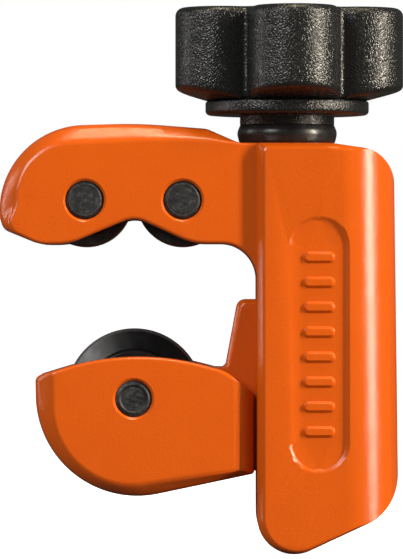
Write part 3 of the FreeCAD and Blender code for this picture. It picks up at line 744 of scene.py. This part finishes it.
# %% Handling
handling_group, handling_in, handling_out = new_group(
    "handling", [("Vector", "Vector", None), ("Size", "Float", 6.0), ("Least", "Float", 0.3),
                 ("Most", "Float", 0.4)], [("Roughness", "Float")])
blotch = noise(handling_group, handling_in.outputs["Vector"],
               per_metre(handling_group, handling_in.outputs["Size"]), 4.0, 0.6)
spread = handling_group.nodes.new("ShaderNodeMapRange")
handling_group.links.new(blotch, spread.inputs["Value"])
spread.inputs["From Min"].default_value = 0.3
spread.inputs["From Max"].default_value = 0.7
handling_group.links.new(handling_in.outputs["Least"], spread.inputs["To Min"])
handling_group.links.new(handling_in.outputs["Most"], spread.inputs["To Max"])
handling_group.links.new(spread.outputs[0], handling_out.inputs["Roughness"])

# %% [markdown]
# ## Materials
# Each material is one Principled shader. What is the same all over is set on the shader's own
# sockets, and only what changes over the surface comes from the groups.

# %% Material helpers


def new_material(name, colour, metallic=0.0, roughness=0.4):
    """A material with a Principled shader, and its Object coordinates."""
    material = bpy.data.materials.new(name)
    material.use_nodes = True
    tree = material.node_tree
    shader = tree.nodes["Principled BSDF"]
    shader.inputs["Base Color"].default_value = (*colour, 1.0)
    shader.inputs["Metallic"].default_value = metallic
    shader.inputs["Roughness"].default_value = roughness
    place = tree.nodes.new("ShaderNodeTexCoord").outputs["Object"]
    return material, tree, shader, place


def use_group(tree, group, vector, **values):
    """Places a node group, feeds it the coordinates and sets its other inputs."""
    node = tree.nodes.new("ShaderNodeGroup")
    node.node_tree = group
    tree.links.new(vector, node.inputs["Vector"])
    for label, value in values.items():
        node.inputs[label].default_value = value
    return node


def bump(tree, shader, height, depth):
    """Feeds a height from 0 to 1 into the normal, as relief of that depth in millimetres."""
    node = tree.nodes.new("ShaderNodeBump")
    node.inputs["Strength"].default_value = 1.0
    node.inputs["Distance"].default_value = depth * MM
    tree.links.new(height, node.inputs["Height"])
    tree.links.new(node.outputs[0], shader.inputs["Normal"])


def blend_colours(tree, factor, first, second):
    """A Mix node between two colours, which are tuples or sockets."""
    node = tree.nodes.new("ShaderNodeMix")
    node.data_type = "RGBA"
    tree.links.new(factor, node.inputs["Factor"])
    for label, value in (("A", first), ("B", second)):
        socket = [s for s in node.inputs if s.name == label and s.type == "RGBA"][0]
        if isinstance(value, bpy.types.NodeSocket):
            tree.links.new(value, socket)
        else:
            socket.default_value = (*value, 1.0)
    return [s for s in node.outputs if s.type == "RGBA"][0]


def centred_on(tree, vector, centre):
    """Coordinates shifted so that a piece's centre, in millimetres, is their origin."""
    node = tree.nodes.new("ShaderNodeMapping")
    node.inputs["Location"].default_value = tuple(-c * MM for c in centre)
    tree.links.new(vector, node.inputs["Vector"])
    return node.outputs[0]


# %% [markdown]
# The castings are powder coated in orange, semi-gloss. The colour is slightly deeper in some places
# than in others, with pale dust specks and dark pits.

# %% Orange powder coat


def orange_paint():
    material, tree, shader, place = new_material("orange_powder_coat", (0.63, 0.098, 0.0045))
    peel = use_group(tree, peel_group, place, Size=0.26)
    tone = noise(tree, place, LENGTHS_PER_METRE / 4.0, 3.0)
    colour = blend_colours(tree, tone, (0.61, 0.092, 0.004), (0.655, 0.104, 0.005))
    colour = blend_colours(tree, peel.outputs["Specks"], colour, (0.7, 0.17, 0.03))
    colour = blend_colours(tree, peel.outputs["Pits"], colour, (0.36, 0.035, 0.001))
    tree.links.new(colour, shader.inputs["Base Color"])
    shine = use_group(tree, handling_group, place, Size=7.0, Least=0.15, Most=0.2)
    tree.links.new(shine.outputs[0], shader.inputs["Roughness"])
    bump(tree, shader, peel.outputs["Height"], 0.019)
    return material


paint = orange_paint()

# %% [markdown]
# The knob is black glass-filled nylon. The grain covers all of it, and a little shade is painted
# into its creases.

# %% Knob plastic


def knob_plastic():
    material, tree, shader, place = new_material("grained_black_plastic", (0.012, 0.0125, 0.013))
    grain = use_group(tree, grain_group, place, Size=0.36, Bend=0.5)
    bump(tree, shader, grain.outputs["Height"], 0.03)
    # painted shade: the grain's creases get the darker of the two colours
    colour = blend_colours(tree, grain.outputs["Crease_shade"], (0.014, 0.0145, 0.015), (0.007, 0.0075, 0.008))
    tree.links.new(colour, shader.inputs["Base Color"])
    shine = use_group(tree, handling_group, place, Size=5.0, Least=0.25, Most=0.31)
    tree.links.new(shine.outputs[0], shader.inputs["Roughness"])
    return material


plastic = knob_plastic()

# %% [markdown]
# The friction ring is nitrile rubber with a film of grease, so it is black and rather glossy.

# %% Rubber


def nitrile_rubber():
    material, tree, shader, place = new_material("nitrile_rubber", (0.010, 0.0105, 0.011))
    bump(tree, shader, noise(tree, place, LENGTHS_PER_METRE / 0.25, 3.0), 0.012)
    shine = use_group(tree, handling_group, place, Size=1.5, Least=0.24, Most=0.42)
    tree.links.new(shine.outputs[0], shader.inputs["Roughness"])
    return material


rubber = nitrile_rubber()

# %% [markdown]
# Every steel finish is the same recipe with different numbers: a tint, a roughness range, turning
# marks round the piece's axis, and a film whose patches are a little lighter or darker. The wheel's
# colour is also lighter beyond a radius: a highlight painted on its bevel.

# %% Steels


# painted highlight: the lighter colour given to the wheel's bevel
PAINTED_RIM_HIGHLIGHT = (0.085, 0.087, 0.091)


def steel(name, centre, dark, light, metallic, shine_range, spacing, depth, patch=1.2, highlight_from=None):
    """A turned steel finish about the Y axis through a centre in millimetres."""
    material, tree, shader, place = new_material(name, dark, metallic)
    marks = use_group(tree, marks_group, centred_on(tree, place, centre), Spacing=spacing)
    patches = noise(tree, place, LENGTHS_PER_METRE / patch, 5.0, 0.62)
    mottled = math_node(tree, "MULTIPLY", smooth_range(tree, patches, 0.4, 0.72),
                        math_node(tree, "MULTIPLY_ADD", marks.outputs["Streaks"], 0.6, 0.4))
    colour = blend_colours(tree, mottled, dark, light)
    # painted highlight: beyond this radius the wheel's bevel turns lighter, for the bright line at its
    # rim
    if highlight_from:
        bright = smooth_range(tree, marks.outputs["Distance"], (highlight_from - 0.03) * MM,
                              (highlight_from + 0.02) * MM)
        colour = blend_colours(tree, bright, colour, PAINTED_RIM_HIGHLIGHT)
    tree.links.new(colour, shader.inputs["Base Color"])
    shine = use_group(tree, handling_group, place, Size=2.5, Least=shine_range[0], Most=shine_range[1])
    tree.links.new(shine.outputs[0], shader.inputs["Roughness"])
    bump(tree, shader, math_node(tree, "MULTIPLY_ADD", patches, 0.6, marks.outputs["Height"]), depth)
    return material


wheel_steel = steel("wheel_steel", wheel_centre, (0.006, 0.0065, 0.007), (0.014, 0.0145, 0.016), 0.45,
                    (0.3, 0.42), 0.12, 0.004, highlight_from=wheel_radius - EDGE_BEVEL)
pin_steels = {
    node: steel(node + "_steel", middle(node), (0.016, 0.017, 0.019), (0.075, 0.078, 0.083), 0.35,
                (0.38, 0.6), 0.2, 0.02, 0.7)
    for node in ("roller_pin_outer", "roller_pin_inner", "cutter_pin")
}
roller_steels = {
    side: steel("roller_steel_" + side, middle("roller_" + side), (0.02, 0.021, 0.023),
                (0.055, 0.057, 0.06), 0.5, (0.3, 0.45), 0.15, 0.006)
    for side in ("outer", "inner")
}
zinc = steel("zinc_plated_steel", screw_axis, (0.5, 0.51, 0.53), (0.66, 0.67, 0.68), 1.0,
             (0.25, 0.4), 0.3, 0.004)
spring = steel("spring_steel", screw_axis, (0.1, 0.1, 0.105), (0.2, 0.2, 0.21), 0.9,
               (0.3, 0.45), 0.3, 0.004)
bronze = steel("sintered_bronze", screw_axis, (0.42, 0.25, 0.1), (0.55, 0.35, 0.16), 1.0,
               (0.4, 0.55), 0.2, 0.006)

# %% [markdown]
# Each piece gets its finish by name.

# %% Finishes on the pieces
finishes = {
    "frame_casting": paint, "jaw_casting": paint, "lobed_knob": plastic, "dished_cap": plastic,
    "friction_ring": rubber, "cutting_wheel": wheel_steel, "bronze_bush": bronze,
    "black_pin_outer": pin_steels["roller_pin_outer"],
    "black_pin_inner": pin_steels["roller_pin_inner"],
    "black_wheel_pin": pin_steels["cutter_pin"],
    "steel_roller_outer": roller_steels["outer"], "steel_roller_inner": roller_steels["inner"],
    "threaded_feed_screw": zinc, "hardened_collar": zinc, "thin_clip_washer": zinc,
    "flat_knob_washer": zinc, "socket_head_screw": zinc, "pin_snap_clip": spring,
    "screw_snap_clip": spring, "split_lock_washer": spring,
}
for name, finish in finishes.items():
    bpy.data.objects[name].data.materials.append(finish)
print(len(finishes), "pieces have a finish")

# %% [markdown]
# ## Floor, light and camera
# The floor is a plain pale sheet that the foot touches. It looks white to the camera, and reflects
# less onto the tool than a white floor would, so that the undersides keep their depth.

# %% Floor
FLOOR_GAP = 0.02                # millimetres between the floor and the foot


def pale_floor(height, half_size):
    """A square sheet at a height, whose material is bright for the camera and dimmer for bounces."""
    mesh = bpy.data.meshes.new("pale_floor")
    corners = [(-1, -1), (1, -1), (1, 1), (-1, 1)]
    mesh.from_pydata([(x * half_size, y * half_size, height) for x, y in corners], [], [(0, 1, 2, 3)])
    floor = bpy.data.objects.new("pale_floor", mesh)
    bpy.context.scene.collection.objects.link(floor)
    material, tree, shader, _ = new_material("pale_floor", (0.85, 0.85, 0.85), 0.0, 0.9)
    shader.inputs["Emission Color"].default_value = (1, 1, 1, 1)
    shader.inputs["Emission Strength"].default_value = 1.0
    dim = tree.nodes.new("ShaderNodeBsdfDiffuse")
    dim.inputs["Color"].default_value = (0.08, 0.08, 0.08, 1)
    path = tree.nodes.new("ShaderNodeLightPath")
    mix = tree.nodes.new("ShaderNodeMixShader")
    tree.links.new(path.outputs["Is Camera Ray"], mix.inputs[0])
    tree.links.new(dim.outputs[0], mix.inputs[1])
    tree.links.new(shader.outputs[0], mix.inputs[2])
    tree.links.new(mix.outputs[0], tree.nodes["Material Output"].inputs["Surface"])
    mesh.materials.append(material)
    floor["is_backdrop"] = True


pale_floor(cad_low[2] - FLOOR_GAP * MM, 4.0)

# %% [markdown]
# The studio is a white room that the camera sees, with a weaker light of its own, and soft boxes:
# a tall one on the right, which draws the long highlight down the back of the handle, a broad one
# in front on the left, one overhead, and a narrow one far left that only touches the edges.

# %% Studio


def studio_world(seen, cast):
    """White surroundings: one strength for the camera and another for the light they cast."""
    world = bpy.data.worlds.new("studio")
    world.use_nodes = True
    tree = world.node_tree
    background = tree.nodes["Background"]
    background.inputs["Color"].default_value = (1, 1, 1, 1)
    path = tree.nodes.new("ShaderNodeLightPath")
    strength = tree.nodes.new("ShaderNodeMapRange")
    tree.links.new(path.outputs["Is Camera Ray"], strength.inputs["Value"])
    strength.inputs["To Min"].default_value = cast
    strength.inputs["To Max"].default_value = seen
    tree.links.new(strength.outputs[0], background.inputs["Strength"])
    bpy.context.scene.world = world


def soft_box(name, azimuth, elevation, distance, width, height, power, colour):
    """A rectangular lamp aimed at the tool: azimuth from -Y towards +X, and elevation, in degrees."""
    target = (np.array(cad_low) + np.array(cad_high)) / 2
    a, e = math.radians(azimuth), math.radians(elevation)
    away = np.array([math.sin(a) * math.cos(e), -math.cos(a) * math.cos(e), math.sin(e)])
    right = np.array([math.cos(a), math.sin(a), 0.0])
    lamp = bpy.data.lights.new(name, "AREA")
    lamp.shape = "RECTANGLE"
    lamp.size, lamp.size_y = width, height
    lamp.energy = power
    lamp.color = colour
    holder = bpy.data.objects.new(name, lamp)
    bpy.context.scene.collection.objects.link(holder)
    holder.location = target + away * distance
    turn = np.stack([right, np.cross(away, right), away], 1)
    holder.rotation_euler = Matrix(turn.tolist()).to_euler()


WARM = (1.0, 0.9, 0.74)
AMBER = (1.0, 0.9, 0.6)
NEUTRAL = (1.0, 0.97, 0.94)
studio_world(seen=1.0, cast=0.1)
soft_box("right_box", 64, 16, 0.6, 0.06, 0.4, 6.0, WARM)
soft_box("front_left_box", -40, 28, 0.7, 0.2, 0.3, 3.0, NEUTRAL)
soft_box("overhead_box", 30, 80, 0.6, 0.2, 0.2, 1.9, AMBER)
soft_box("left_box", -97, 5, 0.6, 0.1, 0.45, 0.9, NEUTRAL)

# %% [markdown]
# The camera stands level, straight in front of the tool, far enough away for a calm perspective.

# %% Camera
CAMERA_DISTANCE = 0.6
VISIBLE_HEIGHT = 0.0729
camera_data = bpy.data.cameras.new("camera")
camera_data.sensor_fit = "VERTICAL"
camera_data.sensor_height = 36.0
camera_data.lens = 36.0 * CAMERA_DISTANCE / VISIBLE_HEIGHT
camera = bpy.data.objects.new("camera", camera_data)
camera.location = (0.00874, -CAMERA_DISTANCE, 0.0)
camera.rotation_euler = (math.pi / 2, 0, 0)
bpy.context.scene.collection.objects.link(camera)
bpy.context.scene.camera = camera
bpy.context.scene.view_settings.view_transform = "Standard"
print("lens", round(camera_data.lens, 1), "mm")

# %% Sizes for comparison, and the end
low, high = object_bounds()
print("visual box", [round(v / MM, 2) for v in (*low, *high)])
